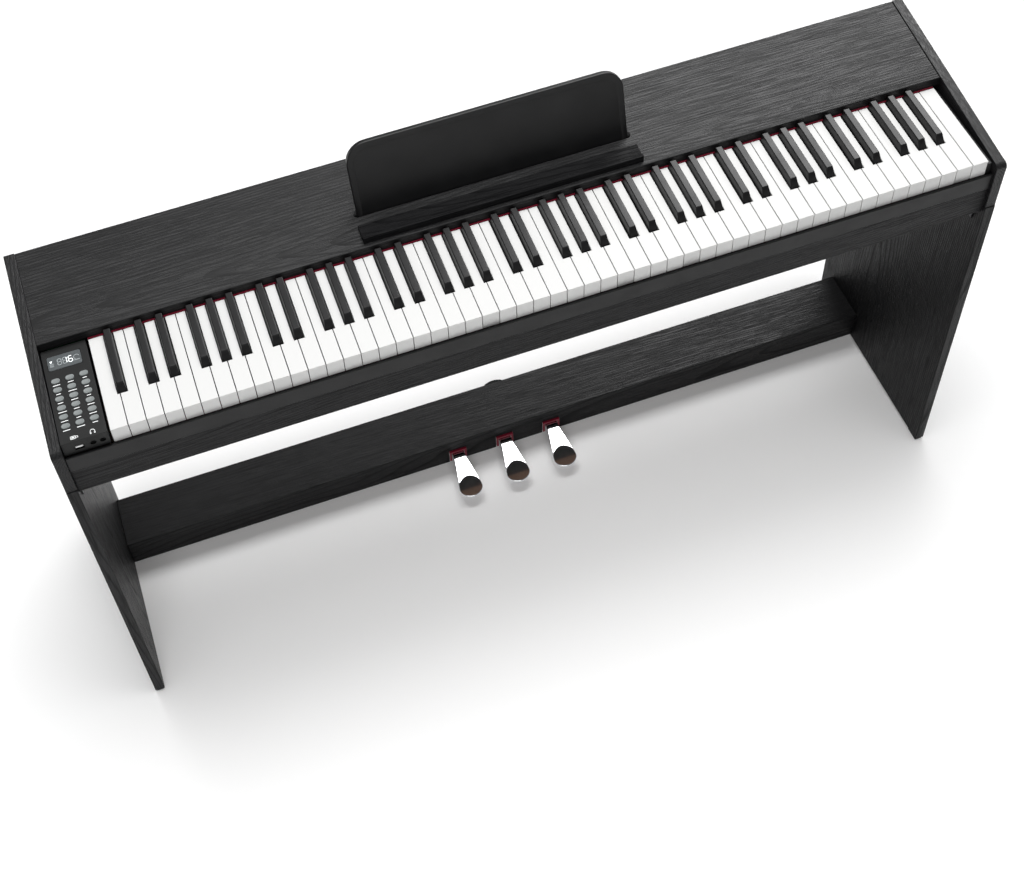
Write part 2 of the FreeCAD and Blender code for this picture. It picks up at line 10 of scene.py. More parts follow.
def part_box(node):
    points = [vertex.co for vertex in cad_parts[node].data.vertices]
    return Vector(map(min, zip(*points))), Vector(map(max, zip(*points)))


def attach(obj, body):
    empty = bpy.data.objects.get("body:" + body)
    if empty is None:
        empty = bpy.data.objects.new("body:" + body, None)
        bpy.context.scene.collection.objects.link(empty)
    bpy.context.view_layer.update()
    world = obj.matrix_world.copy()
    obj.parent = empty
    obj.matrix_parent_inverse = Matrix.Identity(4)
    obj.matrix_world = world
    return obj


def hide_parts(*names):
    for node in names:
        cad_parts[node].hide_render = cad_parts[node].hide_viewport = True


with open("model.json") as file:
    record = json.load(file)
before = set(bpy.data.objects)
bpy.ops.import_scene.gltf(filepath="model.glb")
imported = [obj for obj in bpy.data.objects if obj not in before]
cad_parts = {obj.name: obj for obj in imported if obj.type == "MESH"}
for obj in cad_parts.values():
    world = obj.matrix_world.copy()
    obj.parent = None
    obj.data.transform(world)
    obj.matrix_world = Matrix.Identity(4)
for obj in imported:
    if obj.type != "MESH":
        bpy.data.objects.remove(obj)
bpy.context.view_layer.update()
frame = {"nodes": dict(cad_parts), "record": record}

bl_info = {
    "name": "Digital piano on stand",
    "version": (1, 0, 0),
    "blender": (4, 5, 0),
    "location": "View3D > Sidebar > Piano",
    "description": "Finished pieces, materials and stage of a piano on a stand",
    "category": "Object",
}

MM = 0.001
UP = (0, 0, 1)
ALONG_Y = (0, 1, 0)
NODES = frame["nodes"]
BODY_OF = {
    node: body for body, nodes in frame["record"]["behaviour"]["bodies"].items()
    for node in nodes
}
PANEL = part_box("control_panel")
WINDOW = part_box("display_window")
BUTTONS = sorted(n for n in NODES if n.startswith("panel_button_"))
WHITE_NODES = sorted(n for n in NODES if n.startswith("white_keys_"))
BLACK_NODES = sorted(n for n in NODES if n.startswith("black_keys_"))
PEDALS = ("left_pedal", "middle_pedal", "right_pedal")


# ------------------------------------------------------------------ materials
def colour(code):
    """sRGB hex to linear RGBA."""
    channels = [int(code[i:i + 2], 16) / 255 for i in (1, 3, 5)]
    linear = [
        c / 12.92 if c <= 0.04045 else ((c + 0.055) / 1.055) ** 2.4
        for c in channels
    ]
    return (*linear, 1.0)


def rgba(setting):
    """A colour setting, kept as linear RGB, with full opacity."""
    return (*setting, 1.0)


def add(tree, kind, inputs=None, **settings):
    """Add a node, apply its settings, then set or link its inputs."""
    made = tree.nodes.new(kind)
    for key, value in settings.items():
        setattr(made, key, value)
    for socket, value in (inputs or {}).items():
        if isinstance(value, bpy.types.NodeSocket):
            tree.links.new(value, made.inputs[socket])
        else:
            made.inputs[socket].default_value = value
    return made


def finish_of(name, base, roughness, metallic=0.0, **sockets):
    """New material with its uniform values on the shader; gives tree and shader."""
    material = bpy.data.materials.new(name)
    material.use_nodes = True
    tree = material.node_tree
    shader = tree.nodes["Principled BSDF"]
    shader.inputs["Base Color"].default_value = base
    shader.inputs["Roughness"].default_value = roughness
    shader.inputs["Metallic"].default_value = metallic
    for socket, value in sockets.items():
        shader.inputs[socket.replace("_", " ")].default_value = value
    material.diffuse_color = base
    return material, tree, shader


def ramp(tree, value, low, high, dark=(0, 0, 0, 1), light=(1, 1, 1, 1)):
    """Colour ramp between two positions."""
    made = add(tree, "ShaderNodeValToRGB", {"Fac": value})
    made.color_ramp.elements[0].position = low
    made.color_ramp.elements[0].color = dark
    made.color_ramp.elements[1].position = high
    made.color_ramp.elements[1].color = light
    return made.outputs["Color"]


def mapped(tree, place, scale=(1, 1, 1), turn=(0, 0, 0), shift=(0, 0, 0)):
    """A place that is scaled, turned and shifted."""
    return add(tree, "ShaderNodeMapping", {
        "Vector": place, "Scale": scale, "Rotation": turn, "Location": shift,
    }).outputs["Vector"]


def object_place(tree, scale=(1, 1, 1), turn=(0, 0, 0)):
    """Object coordinates, turned and scaled."""
    place = add(tree, "ShaderNodeTexCoord").outputs["Object"]
    return mapped(tree, place, scale, turn)


def noise(tree, place, scale, detail, roughness=0.5):
    """Noise between 0 and 1, as a value."""
    return add(tree, "ShaderNodeTexNoise", {
        "Vector": place, "Scale": scale, "Detail": detail,
        "Roughness": roughness}).outputs["Fac"]


def spread(tree, value, low, high, to_low, to_high):
    """A value moved from one range to another."""
    return add(tree, "ShaderNodeMapRange", {
        "Value": value, "From Min": low, "From Max": high,
        "To Min": to_low, "To Max": to_high}).outputs["Result"]


def emboss(tree, shader, height, strength, depth):
    """Relief of one depth on a shader."""
    bump = add(tree, "ShaderNodeBump", {
        "Height": height, "Strength": strength, "Distance": depth})
    tree.links.new(bump.outputs["Normal"], shader.inputs["Normal"])


# a wave texture repeats once a metre at this scale
WAVE_TURN = 0.314
# turns that lay the grain along an axis
GRAIN_TURN = {
    "X": (0.0, 0.0, 0.0),
    "Y": (0.0, 0.0, -math.pi / 2),
    "Z": (0.0, math.pi / 2, 0.0),
}


def black_oak_foil(name, grain, pith, sheen, settings):
    """Embossed oak-grain foil on particle board: printed arches and pores, satin."""
    material, tree, shader = finish_of(
        name, rgba(settings.wood_dark), 0.5, Specular_IOR_Level=sheen)
    along = object_place(tree, turn=GRAIN_TURN[grain])
    # growth rings of a log whose pith runs a few degrees off the board
    log = mapped(tree, along, turn=(0.0, math.radians(2.4), math.radians(0.9)),
                 shift=(0.0, -pith[0], -pith[1]))
    # the rings wander by up to 13 mm over about 400 mm
    sway = mapped(tree, along, (2.4, 11.0, 11.0))
    drift = add(tree, "ShaderNodeTexNoise", {
        "Vector": sway, "Scale": 1.0, "Detail": 2.0, "Roughness": 0.35})
    bent = add(tree, "ShaderNodeVectorMath", {
        0: drift.outputs["Color"], 1: (0.0, 0.026, 0.026), 2: log},
        operation="MULTIPLY_ADD").outputs["Vector"]
    rings = add(tree, "ShaderNodeTexWave", {
        "Vector": bent, "Scale": WAVE_TURN / settings.ring_width, "Distortion": 0.0,
    }, wave_type="RINGS", rings_direction="X", wave_profile="SAW").outputs["Fac"]
    # pores are 0.3 mm wide; drawn 1.2 mm wide and 55 mm long so they show
    pores = noise(tree, mapped(tree, along, (18.0, 800.0, 800.0)), 1.0, 2.0, 0.6)
    # broad streaks, 6 mm wide and 300 mm long
    streaks = noise(tree, mapped(tree, along, (3.3, 165.0, 165.0)), 1.0, 4.0, 0.6)
    # early wood rises slowly across a ring, then drops into a dark late line
    late = ramp(tree, rings, 0.62, 0.9, (1, 1, 1, 1), (0, 0, 0, 1))
    open_pores = ramp(tree, pores, 0.36, 0.56)
    raised = add(tree, "ShaderNodeMath", {0: late, 1: open_pores},
                 operation="MULTIPLY").outputs[0]
    mixed = add(tree, "ShaderNodeMath", {0: raised, 1: 0.8, 2: streaks},
                operation="MULTIPLY_ADD").outputs[0]
    tone = ramp(tree, mixed, 0.35, 1.2, rgba(settings.wood_dark),
                rgba(settings.wood_light))
    tree.links.new(tone, shader.inputs["Base Color"])
    gloss = spread(tree, mixed, 0.35, 1.2, 0.62, 0.36)
    tree.links.new(gloss, shader.inputs["Roughness"])
    emboss(tree, shader, raised, 0.5, 0.35 * MM)
    return material


def moulded(name, base, roughness, grit, depth, patchy=0.12, **sockets):
    """Moulded plastic or rubber: even colour, spark-eroded surface of one grit."""
    material, tree, shader = finish_of(name, base, roughness, **sockets)
    place = object_place(tree)
    emboss(tree, shader, noise(tree, place, 1.0 / grit, 2.0), 0.5, depth)
    # handling leaves patches about 40 mm across that shine a little differently
    shine = spread(tree, noise(tree, place, 25.0, 3.0), 0.3, 0.7,
                   roughness * (1 - patchy), min(1.0, roughness * (1 + patchy)))
    tree.links.new(shine, shader.inputs["Roughness"])
    return material


def plated(name, base, roughness, patch):
    """Plated or drawn steel: bright metal, polished unevenly in patches of one size."""
    material, tree, shader = finish_of(name, base, roughness, 1.0)
    marks = noise(tree, object_place(tree), 1.0 / patch, 4.0)
    shine = spread(tree, marks, 0.3, 0.7, roughness * 0.7, roughness * 1.3)
    tree.links.new(shine, shader.inputs["Roughness"])
    return material


def wool_felt(name, base):
    """Pressed wool felt: short fibres catch light at the edge, no gloss."""
    material, tree, shader = finish_of(
        name, base, 0.95, Sheen_Weight=0.6, Sheen_Roughness=0.4,
        Specular_IOR_Level=0.1)
    # fibres are 0.02 mm thick; drawn as 0.5 mm tufts
    fuzz = noise(tree, object_place(tree), 2000.0, 4.0, 0.7)
    tone = ramp(tree, fuzz, 0.3, 0.75, tuple(c * 0.55 for c in base[:3]) + (1,), base)
    tree.links.new(tone, shader.inputs["Base Color"])
    emboss(tree, shader, fuzz, 0.8, 0.3 * MM)
    return material


def hardboard(name, dark, light, painted_shade_from):
    """Pressed fibreboard: brown fibres in flecks, with black painted shade at the back.
    """
    material, tree, shader = finish_of(name, light, 0.8)
    flecks = noise(tree, object_place(tree, (220.0, 420.0, 420.0)), 1.0, 5.0, 0.7)
    brown = ramp(tree, flecks, 0.3, 0.75, dark, light)
    depth = add(tree, "ShaderNodeSeparateXYZ", {
        "Vector": object_place(tree)}).outputs["Y"]
    # painted shade: black from this depth to the back, so the chrome pedals reflect a
    # dark underside
    painted_shade = spread(tree, depth, painted_shade_from, painted_shade_from + 2 * MM, 0.0, 1.0)
    # sockets 6 and 7 are the brown board and the black painted shade, output 2 is its
    # colour
    mix = add(tree, "ShaderNodeMix", {
        "Factor": painted_shade, 6: brown, 7: colour("#0C0C0C")}, data_type="RGBA")
    tree.links.new(mix.outputs[2], shader.inputs["Base Color"])
    emboss(tree, shader, flecks, 0.5, 0.2 * MM)
    return material


FINISHES = {}


def finish(name, maker, *arguments, **settings):
    """A material by name, made on its first use."""
    if name not in FINISHES:
        FINISHES[name] = maker(name, *arguments, **settings)
    return FINISHES[name]


# --------------------------------------------------------------------- meshes
def place_piece(name, mesh, body, material, replaced=(), even=True):
    """Put a finished mesh on its body and hide the CAD parts that it replaces."""
    piece = bpy.data.objects.new(name, mesh)
    bpy.context.scene.collection.objects.link(piece)
    mesh.materials.clear()
    mesh.materials.append(material)
    if even:
        normals = piece.modifiers.new("even_normals", "WEIGHTED_NORMAL")
        normals.keep_sharp = True
        normals.weight = 100
    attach(piece, body)
    if replaced:
        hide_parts(*replaced)
    return piece


def mesh_from(bm, name, crease=38.0):
    """Finished mesh: smooth faces, sharp where they meet above the crease angle."""
    mesh = bpy.data.meshes.new(name)
    bm.to_mesh(mesh)
    bm.free()
    mesh.shade_smooth()
    mesh.set_sharp_from_angle(angle=math.radians(crease))
    return mesh


def add_piece(name, bm, material, replaced=(), body="cabinet", crease=38.0,
              even=False):
    """A drawn piece, on the cabinet unless another body is given."""
    return place_piece(name, mesh_from(bm, name, crease), body, material,
                       replaced, even)


def merged_copy(node):
    """A CAD node's mesh with its triangles joined into whole faces."""
    bm = bmesh.new()
    bm.from_mesh(NODES[node].data)
    bmesh.ops.remove_doubles(bm, verts=bm.verts, dist=1e-6)
    bmesh.ops.dissolve_limit(
        bm, angle_limit=math.radians(0.6), verts=bm.verts, edges=bm.edges,
        use_dissolve_boundaries=False)
    return bm


def soften(bm, radius, segments=2, longer=0.0, test=None, angle=24.0):
    """Round the outside edges that are long enough and pass the test."""
    limit = math.radians(angle)
    edges = [
        e for e in bm.edges
        if len(e.link_faces) == 2 and e.is_convex and e.calc_length() > longer
        and e.calc_face_angle() > limit and (test is None or test(e))
    ]
    bmesh.ops.bevel(bm, geom=edges, offset=radius, segments=segments, profile=0.5,
                    affect="EDGES", clamp_overlap=False)
    return bm


def soft_piece(node, material, slot, radius, **softening):
    """A CAD node's shape with rounded edges, as the piece that is seen."""
    bm = soften(merged_copy(node), radius, **softening)
    return add_piece(node + "_shell", bm, material, [node], BODY_OF[node],
                     even=True)


def add_block(bm, low, high):
    """A box from corner to corner."""
    for v in bmesh.ops.create_cube(bm, size=1.0)["verts"]:
        v.co = Vector((
            low[i] + (v.co[i] + 0.5) * (high[i] - low[i]) for i in range(3)))


def add_plate(bm, outline, low, high):
    """A flat plate with an outline in X and Y, given anticlockwise."""
    under = [bm.verts.new((x, y, low)) for x, y in outline]
    over = [bm.verts.new((x, y, high)) for x, y in outline]
    bm.faces.new(list(reversed(under)))
    bm.faces.new(over)
    count = len(outline)
    for i in range(count):
        j = (i + 1) % count
        bm.faces.new((under[i], under[j], over[j], over[i]))


def join_loops(bm, loops, capped=True):
    """Faces between neighbouring loops of vertices, and over both ends."""
    count = len(loops[0])
    for low, high in zip(loops, loops[1:]):
        for i in range(count):
            j = (i + 1) % count
            bm.faces.new((low[i], low[j], high[j], high[i]))
    if capped:
        bm.faces.new(list(reversed(loops[0])))
        bm.faces.new(loops[-1])


def turned_loops(bm, rings, centre, axis, steps):
    """Circles of vertices: rings are (radius, height) along the axis."""
    turn = Vector(UP).rotation_difference(Vector(axis)).to_matrix()
    return [[
        bm.verts.new(Vector(centre) + turn @ Vector((
            radius * math.cos(2 * math.pi * i / steps),
            radius * math.sin(2 * math.pi * i / steps), height)))
        for i in range(steps)] for radius, height in rings]


def add_turned(bm, rings, centre, axis, steps):
    """A turned solid with flat ends."""
    join_loops(bm, turned_loops(bm, rings, centre, axis, steps))


def add_tube(bm, start, axis, inner, outer, length, steps=24):
    """A tube with square ends."""
    profile = [(outer, 0), (outer, length), (inner, length), (inner, 0)]
    loops = turned_loops(bm, profile, start, axis, steps)
    join_loops(bm, loops + loops[:1], capped=False)


def arc(cx, cy, radius, start, end, steps):
    """Points on an arc, angles in degrees."""
    return [
        (cx + radius * math.cos(math.radians(start + (end - start) * i / steps)),
         cy + radius * math.sin(math.radians(start + (end - start) * i / steps)))
        for i in range(steps + 1)
    ]


def rounded(cx, cy, width, depth, radius, steps=5):
    """Outline of a rounded rectangle."""
    x, y = width / 2 - radius, depth / 2 - radius
    points = []
    for sx, sy, start in ((1, -1, -90), (1, 1, 0), (-1, 1, 90), (-1, -1, 180)):
        points += arc(cx + sx * x, cy + sy * y, radius, start, start + 90, steps)
    return points


def islands(node):
    """Lowest and highest corner of each solid of a CAD node, and its points."""
    bm = merged_copy(node)
    left = dict.fromkeys(bm.verts)
    found = []
    while left:
        reach = [left.popitem()[0]]
        points = []
        while reach:
            here = reach.pop()
            points.append(here.co.copy())
            for e in here.link_edges:
                other = e.other_vert(here)
                if other in left:
                    del left[other]
                    reach.append(other)
        low = Vector(min(p[i] for p in points) for i in range(3))
        high = Vector(max(p[i] for p in points) for i in range(3))
        found.append((low, high, points))
    bm.free()
    return found


# ------------------------------------------------------------- geometry nodes
def new_tree(name, sizes):
    """Geometry tree with a geometry input and named sizes."""
    tree = bpy.data.node_groups.new(name, "GeometryNodeTree")
    face = tree.interface
    face.new_socket("Geometry", in_out="INPUT", socket_type="NodeSocketGeometry")
    for label, kind, _ in sizes:
        face.new_socket(label, in_out="INPUT", socket_type=kind)
    face.new_socket("Geometry", in_out="OUTPUT", socket_type="NodeSocketGeometry")
    start = add(tree, "NodeGroupInput")
    return tree, start.outputs


def close_tree(tree, geometry, material):
    """End a tree with real geometry and its material."""
    real = add(tree, "GeometryNodeRealizeInstances", {"Geometry": geometry})
    coloured = add(tree, "GeometryNodeSetMaterial", {
        "Geometry": real.outputs["Geometry"], "Material": material})
    add(tree, "NodeGroupOutput", {0: coloured.outputs["Geometry"]})


def grow(name, points, tree, sizes, attributes=None):
    """Run a tree on some points and give the plain mesh that it makes."""
    seeds = bpy.data.meshes.new(name + "_points")
    seeds.from_pydata([tuple(p) for p in points], [], [])
    for label, (kind, key, values) in (attributes or {}).items():
        layer = seeds.attributes.new(label, kind, "POINT")
        flat = [c for v in values for c in v] if key == "vector" else values
        layer.data.foreach_set(key, flat)
    carrier = bpy.data.objects.new(name + "_carrier", seeds)
    bpy.context.scene.collection.objects.link(carrier)
    modifier = carrier.modifiers.new(name, "NODES")
    modifier.node_group = tree
    values = {label: value for label, _, value in sizes}
    for item in tree.interface.items_tree:
        if item.in_out == "INPUT" and item.name in values:
            modifier[item.identifier] = values[item.name]
    seen = carrier.evaluated_get(bpy.context.evaluated_depsgraph_get())
    mesh = bpy.data.meshes.new_from_object(seen)
    mesh.name = name
    carrier.modifiers.remove(modifier)
    bpy.data.objects.remove(carrier)
    return mesh


def coil_springs(node, name, material, turns, coil, wire, gap):
    """Coil springs for a node's solids, with a gap over and under each."""
    seats = []
    for low, high, _ in islands(node):
        seats.append(((low.x + high.x) / 2, (low.y + high.y) / 2, low.z + gap))
        height = high.z - low.z
    sizes = [
        ("Turns", "NodeSocketFloat", turns),
        ("Coil radius", "NodeSocketFloat", coil),
        ("Wire radius", "NodeSocketFloat", wire),
        ("Height", "NodeSocketFloat", height - 2 * gap),
    ]
    tree, given = new_tree(name, sizes)
    coil = add(tree, "GeometryNodeCurveSpiral", {
        "Resolution": 14, "Rotations": given["Turns"],
        "Start Radius": given["Coil radius"], "End Radius": given["Coil radius"],
        "Height": given["Height"]})
    wire = add(tree, "GeometryNodeCurvePrimitiveCircle", {
        "Resolution": 6, "Radius": given["Wire radius"]})
    tube = add(tree, "GeometryNodeCurveToMesh", {
        "Curve": coil.outputs["Curve"], "Profile Curve": wire.outputs["Curve"],
        "Fill Caps": True})
    stand = add(tree, "GeometryNodeInstanceOnPoints", {
        "Points": given["Geometry"], "Instance": tube.outputs["Mesh"]})
    close_tree(tree, stand.outputs["Instances"], material)
    mesh = grow(name, sorted(seats), tree, sizes)
    mesh.shade_smooth()
    place_piece(name, mesh, "cabinet", material, [node], even=False)


# ------------------------------------------------------------------ properties
class CaseSettings(bpy.types.PropertyGroup):
    edge_round: FloatProperty(
        name="Edge rounding", description="Radius of the foil-wrapped board edges",
        default=0.9 * MM, min=0.1 * MM, max=2 * MM, unit="LENGTH", precision=5)
    ring_width: FloatProperty(
        name="Ring width", description="Spacing of the printed growth rings",
        default=3.9 * MM, min=1 * MM, max=30 * MM, unit="LENGTH", precision=5)
    wood_dark: FloatVectorProperty(
        name="Grain, dark", description="Darkest tone of the grain foil",
        subtype="COLOR", size=3, default=colour("#09090A")[:3], min=0, max=1)
    wood_light: FloatVectorProperty(
        name="Grain, light", description="Lightest tone of the grain foil",
        subtype="COLOR", size=3, default=colour("#161617")[:3], min=0, max=1)


class KeySettings(bpy.types.PropertyGroup):
    white_round: FloatProperty(
        name="White key rounding", description="Edge radius of the white keys",
        default=0.6 * MM, min=0.1 * MM, max=1.2 * MM, unit="LENGTH", precision=5)
    black_round: FloatProperty(
        name="Black key rounding", description="Edge radius of the black keys",
        default=1.1 * MM, min=0.1 * MM, max=1.6 * MM, unit="LENGTH", precision=5)
    white: FloatVectorProperty(
        name="White key", description="Colour of the white keys",
        subtype="COLOR", size=3, default=colour("#CCCCCB")[:3], min=0, max=1)
    black: FloatVectorProperty(
        name="Black key", description="Colour of the black keys",
        subtype="COLOR", size=3, default=colour("#0F0F10")[:3], min=0, max=1)


class PanelSettings(bpy.types.PropertyGroup):
    label_length: FloatProperty(
        name="Label length", description="Longest printed bar under a button",
        default=11.0 * MM, min=2 * MM, max=16 * MM, unit="LENGTH", precision=5)
    label_seed: IntProperty(
        name="Label seed", description="Picks the lengths of the printed bars",
        default=7, min=0)
    digit_height: FloatProperty(
        name="Digit height", description="Height of the display's digits",
        default=9.5 * MM, min=3 * MM, max=16 * MM, unit="LENGTH", precision=5)
    rubber: FloatVectorProperty(
        name="Buttons", description="Colour of the rubber buttons",
        subtype="COLOR", size=3, default=colour("#6E7373")[:3], min=0, max=1)


class RestSettings(bpy.types.PropertyGroup):
    rim_width: FloatProperty(
        name="Rim width", description="Raised border round the music rest",
        default=8.0 * MM, min=2 * MM, max=20 * MM, unit="LENGTH", precision=5)
    rim_depth: FloatProperty(
        name="Rim depth", description="How far the middle lies behind the border",
        default=1.5 * MM, min=0.1 * MM, max=2 * MM, unit="LENGTH", precision=5)


class PedalSettings(bpy.types.PropertyGroup):
    crown: FloatProperty(
        name="Neck crown", description="Radius of the pedals' crowned neck",
        default=240.0 * MM, min=60 * MM, max=2000 * MM, unit="LENGTH", precision=5)
    rim_round: FloatProperty(
        name="Rim rounding", description="Radius of the pedals' upper edge",
        default=1.3 * MM, min=0.3 * MM, max=3 * MM, unit="LENGTH", precision=5)
    felt: FloatVectorProperty(
        name="Felt", description="Colour of the red felts",
        subtype="COLOR", size=3, default=colour("#7A0C28")[:3], min=0, max=1)


class StageSettings(bpy.types.PropertyGroup):
    floor: FloatVectorProperty(
        name="Floor", description="Colour of the studio floor",
        subtype="COLOR", size=3, default=colour("#FFFFFF")[:3], min=0, max=1)
    sky: FloatProperty(
        name="Sky", description="Strength of the even light from all round",
        default=0.26, min=0, max=5)
    lens: FloatProperty(
        name="Lens", description="Focal length on a 36 mm frame",
        default=58.27, min=10, max=300, subtype="UNSIGNED")


# ----------------------------------------------------------------------- case
class PIANO_OT_case(bpy.types.Operator):
    """Side panels, cheeks, boards, glides and the body's underside"""
    bl_idname = "piano.case"
    bl_label = "Case boards"

    def execute(self, context):
        settings = context.scene.piano_case
        round_by = settings.edge_round

        def wood(name, grain, pith, sheen=0.1):
            return finish("black_oak_foil_" + name, black_oak_foil, grain, pith,
                          sheen, settings)

        boards = {
            "top_board": wood("top", "X", (0.03, 0.70), 0.16),
            "front_apron": wood("apron", "X", (-0.21, 0.70)),
            "pedal_box_top": wood("plank", "X", (0.20, 0.03)),
            "pedal_box_front": wood("plank", "X", (0.20, 0.03)),
            "pedal_box_back": wood("plank", "X", (0.20, 0.03)),
            "left_leg_panel": wood("left", "Z", (-0.04, 0.60)),
            "right_leg_panel": wood("right", "Z", (0.05, -0.60)),
            "left_cheek": wood("left_cheek", "Y", (0.61, 0.66), 0.16),
            "right_cheek": wood("right_cheek", "Y", (-0.61, 0.67), 0.2),
        }
        for node, material in boards.items():
            soft_piece(node, material, "black_woodgrain", round_by, longer=11 * MM)
        painted = finish("black_painted_board", moulded, colour("#0D0D0E"), 0.55,
                         0.9 * MM, 0.03 * MM, Specular_IOR_Level=0.35)
        soft_piece("back_panel", painted, "black_painted_board", 0.5 * MM,
                   longer=11 * MM)
        # unfaced hardboard: brown, seen from below and in the chrome; black painted
        # shade from 19 mm in front of the speakers to the back
        brown = finish("brown_hardboard", hardboard, colour("#3B2A20"),
                       colour("#6B5242"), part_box("speakers")[0].y - 19 * MM)
        soft_piece("bottom_board", brown, "fibreboard", 0.4 * MM, longer=20 * MM)
        nylon = finish("black_nylon_glide", moulded, colour("#1E1E1F"), 0.6,
                       0.7 * MM, 0.03 * MM)
        soft_piece("floor_glides", nylon, "glide_plastic", 1.2 * MM, longer=3 * MM)
        satin = finish("satin_black_abs", moulded, colour("#060607"), 0.42,
                       0.8 * MM, 0.015 * MM, Specular_IOR_Level=0.2)
        soft_piece("key_slip", satin, "satin_black_plastic", 0.7 * MM,
                   longer=2 * MM)
        return {"FINISHED"}


# ----------------------------------------------------------------------- keys
# contact dome: shares of its radius, at shares of its height
DOME = ((1.0, 0.0), (1.0, 0.12), (0.72, 0.3), (0.6, 0.85), (0.45, 1.0))
WIDEST_DOME = 100 * MM


class PIANO_OT_keys(bpy.types.Operator):
    """White and black keys, their chassis, springs and contact board"""
    bl_idname = "piano.keys"
    bl_label = "Keyboard"

    def execute(self, context):
        settings = context.scene.piano_keys
        # moulded ABS: the white keys are polished, the black ones satin
        white = finish("polished_white_abs", moulded, rgba(settings.white), 0.4,
                       1.4 * MM, 0.002 * MM, patchy=0.02, Specular_IOR_Level=0.1)
        black = finish("satin_black_key_abs", moulded, rgba(settings.black), 0.36,
                       0.8 * MM, 0.02 * MM, Specular_IOR_Level=0.17)
        # only the edges round the playing surfaces are rounded
        white_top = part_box(WHITE_NODES[0])[1].z
        for node in WHITE_NODES:
            soft_piece(node, white, "ivory_white_plastic", settings.white_round,
                       segments=3, longer=0.5 * MM,
                       test=lambda e: min(v.co.z for v in e.verts)
                       > white_top - 3.2 * MM)
        for node in BLACK_NODES:
            soft_piece(node, black, "satin_black_plastic", settings.black_round,
                       segments=3, longer=3 * MM,
                       test=lambda e: max(v.co.z for v in e.verts)
                       > white_top + 3 * MM)
        grey = finish("charcoal_abs_chassis", moulded, colour("#121213"), 0.6,
                      1.0 * MM, 0.04 * MM, Specular_IOR_Level=0.3)
        soft_piece("key_chassis", grey, "grey_black_plastic", 0.5 * MM,
                   longer=3 * MM)
        self.contacts()
        self.springs()
        return {"FINISHED"}

    def contacts(self):
        """Laminate strip with a rubber dome under each key."""
        solids = islands("contact_board")
        low, high, _ = max(solids, key=lambda solid: solid[1].x - solid[0].x)
        strip = bmesh.new()
        add_block(strip, low, high)
        domes = bmesh.new()
        for low, high, _ in solids:
            wide, height = high.x - low.x, high.z - low.z
            if wide < WIDEST_DOME:
                middle = (low + high) / 2
                add_turned(domes, [
                    (share * wide / 2, rise * height) for share, rise in DOME],
                    (middle.x, middle.y, low.z), UP, 16)
        laminate = finish("green_glass_laminate", moulded, colour("#1F5A35"), 0.4,
                          1.2 * MM, 0.01 * MM)
        add_piece("contact_strip", strip, laminate,
                  ["contact_board"], even=True)
        rubber = finish("black_silicone_dome", moulded, colour("#232324"), 0.7,
                        0.8 * MM, 0.02 * MM)
        add_piece("contact_domes", domes, rubber,
                  ["contact_board"], even=True)

    def springs(self):
        """One return spring under each key."""
        steel = finish("drawn_spring_steel", plated, colour("#A8A8AC"), 0.3,
                       2 * MM)
        coil_springs("key_springs", "key_coil_springs", steel, 5.0, 2.15 * MM,
                     0.35 * MM, 0.5 * MM)


# ---------------------------------------------------------------------- panel
SEGMENTS = {
    "a": ((0, 1), (1, 1)), "b": ((1, 1), (1, 0.5)), "c": ((1, 0.5), (1, 0)),
    "d": ((0, 0), (1, 0)), "e": ((0, 0.5), (0, 0)), "f": ((0, 1), (0, 0.5)),
    "g": ((0, 0.5), (1, 0.5)),
}


# button from its flange up: length, width and height over its top, in mm
BUTTON_LAYERS = (
    (13.5, 9.5, -7.1), (13.5, 9.5, -5.1), (11.5, 7.5, -5.1), (11.5, 7.5, -0.7),
    (11.3, 7.3, -0.25), (10.7, 6.7, 0.0), (9.6, 5.6, -0.05), (7.8, 3.8, -0.3),
    (5.0, 1.2, -0.4),
)
# stick symbol: middle, width and depth of each bar, in mm
STICK = (
    (-1.2, 2.0, 7.0, 0.9), (-1.2, -2.0, 7.0, 0.9), (-4.3, 0.0, 0.9, 4.9),
    (1.9, 0.0, 0.9, 4.9), (3.7, 1.2, 2.9, 0.7), (3.7, -1.2, 2.9, 0.7),
    (4.9, 0.0, 0.7, 3.1), (-1.4, 0.0, 4.0, 1.6),
)


def add_bar(bm, cx, cy, width, depth, radius, low, high, steps=3):
    """A flat bar with rounded corners."""
    add_plate(bm, rounded(cx, cy, width * MM, depth * MM, radius * MM, steps),
              low, high)


def add_bow(bm, cx, cy, outer, inner, start, end, steps, low, high):
    """A flat bow between two radii, angles in degrees."""
    far = arc(cx, cy, outer, start, end, steps)
    near = arc(cx, cy, inner, start, end, steps)
    for i in range(steps):
        add_plate(bm, [far[i], far[i + 1], near[i + 1], near[i]], low, high)


def add_digit(bm, left, bottom, height, lit, low, high):
    """Seven-segment digit; bars have pointed ends."""
    width = height * 0.5
    half = height * 0.055
    for name in lit:
        (x0, y0), (x1, y1) = SEGMENTS[name]
        p = Vector((left + x0 * width, bottom + y0 * height))
        q = Vector((left + x1 * width, bottom + y1 * height))
        run = (q - p).normalized()
        side = Vector((-run.y, run.x)) * half
        p, q = p + run * half * 0.5, q - run * half * 0.5
        outline = [p, p + run * half - side, q - run * half - side, q,
                   q - run * half + side, p + run * half + side]
        add_plate(bm, [tuple(c) for c in outline], low, high)


